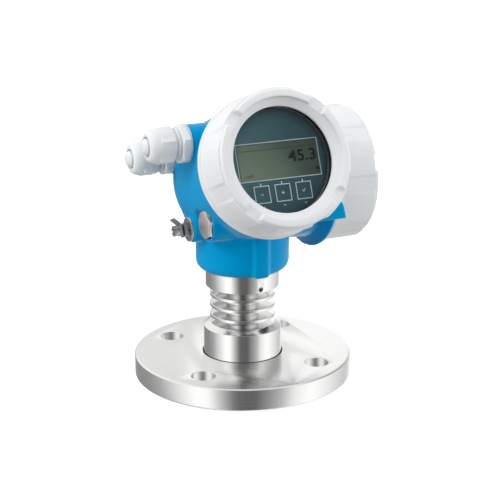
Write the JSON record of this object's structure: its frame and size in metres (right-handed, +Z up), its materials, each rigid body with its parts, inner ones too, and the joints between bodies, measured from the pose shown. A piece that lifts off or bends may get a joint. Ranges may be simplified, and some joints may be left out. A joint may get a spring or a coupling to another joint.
{
  "type": "radar level transmitter",
  "caption": "Flanged radar level transmitter with a finned cooling neck and a cast head holding a windowed display, a terminal compartment, screw covers and cable glands.",
  "frame": {"origin": "centre of the flange's raised gasket face", "axes": "+Z up along the neck, the display looks towards -Y and up, the terminal compartment opens towards +X"},
  "size_m": [0.1831, 0.1769, 0.2334],
  "materials": {
    "turned_steel": "fine turned, satin",
    "ptfe": "machined, waxy",
    "ceramic": "fired, matt",
    "gilt_brass": "bright plated",
    "black_rubber": "moulded, matt",
    "spring_steel": "blackened",
    "zinc_plate": "bright zinc plate",
    "plated_steel": "nickel plate",
    "blue_paint": "powder coat, satin",
    "white_paint": "powder coat, fine texture",
    "tinned_can": "tinned sheet",
    "potting_black": "moulded, matt",
    "display_panel": "printed panel, smooth",
    "lcd": "reflective display pane",
    "sight_glass": "flat, polished",
    "black_anodised": "anodised black",
    "terminal_green": "moulded",
    "gland_plastic": "moulded polyamide"
  },
  "bodies": {
    "process_end": {"flange": "turned_steel", "antenna": "ptfe", "finned_neck": "turned_steel", "feed_bead": "ceramic", "feed_pin": "gilt_brass", "neck_seal": "black_rubber", "snap_ring": "spring_steel"},
    "head": {"adapter": "turned_steel", "housing": "blue_paint", "radar_module": "tinned_can", "electronics_module": "potting_black", "module_screws": "zinc_plate", "display_cover_seal": "black_rubber", "terminal_cover_seal": "black_rubber", "terminal_carrier": "potting_black", "terminal_block": "terminal_green", "terminal_screws": "zinc_plate", "front_gland_washer": "black_rubber", "front_gland_body": "gland_plastic", "front_gland_insert": "black_rubber", "front_blank": "gland_plastic", "rear_gland_washer": "black_rubber", "rear_gland_body": "gland_plastic", "rear_gland_insert": "black_rubber", "rear_blank": "gland_plastic", "plug_gasket": "black_rubber", "ground_plate": "zinc_plate", "ground_block": "zinc_plate", "spring_washer": "spring_steel", "ground_clamp": "zinc_plate"},
    "lock_screw_body": {"lock_screw": "zinc_plate"},
    "display": {"display_module": "display_panel", "display_glass": "lcd"},
    "display_cover_body": {"display_cover": "white_paint", "sight_glass": "sight_glass", "glass_gasket": "black_rubber", "glass_ring": "black_anodised"},
    "terminal_cover_body": {"terminal_cover": "white_paint"},
    "front_cap_body": {"front_gland_cap": "gland_plastic"},
    "rear_cap_body": {"rear_gland_cap": "gland_plastic"},
    "plug_body": {"hex_plug": "plated_steel"},
    "ground_screw_body": {"ground_screw": "zinc_plate"}
  },
  "joints": [
    {"name": "head_turn", "type": "hinge", "parent": "process_end", "child": "head", "pos_m": [0, 0, 0.08], "axis": [0, 0, 1], "range_deg": [-175, 175]},
    {"name": "lock_screw_turn", "type": "hinge", "parent": "head", "child": "lock_screw_body", "pos_m": [0.00174, -0.01992, 0.076], "axis": [0.0872, -0.9962, 0], "continuous": true},
    {"name": "display_turn", "type": "hinge", "parent": "head", "child": "display", "pos_m": [0, -0.05391, 0.17861], "axis": [0, -0.9239, 0.3827], "range_deg": [-135, 180]},
    {"name": "display_cover_turn", "type": "hinge", "parent": "head", "child": "display_cover_body", "pos_m": [0, -0.05391, 0.17861], "axis": [0, -0.9239, 0.3827], "continuous": true},
    {"name": "terminal_cover_turn", "type": "hinge", "parent": "head", "child": "terminal_cover_body", "pos_m": [0.08, 0.02, 0.1471], "axis": [1, 0, 0], "continuous": true},
    {"name": "front_cap_turn", "type": "hinge", "parent": "head", "child": "front_cap_body", "pos_m": [-0.06, -0.01332, 0.18959], "axis": [-1, 0, 0], "continuous": true},
    {"name": "rear_cap_turn", "type": "hinge", "parent": "head", "child": "rear_cap_body", "pos_m": [-0.06, 0.02075, 0.17334], "axis": [-1, 0, 0], "continuous": true},
    {"name": "plug_turn", "type": "hinge", "parent": "head", "child": "plug_body", "pos_m": [-0.037, -0.02312, 0.13014], "axis": [-1, 0, 0], "continuous": true},
    {"name": "ground_screw_turn", "type": "hinge", "parent": "head", "child": "ground_screw_body", "pos_m": [-0.05, -0.00279, 0.12172], "axis": [-1, 0, 0], "continuous": true}
  ]
}
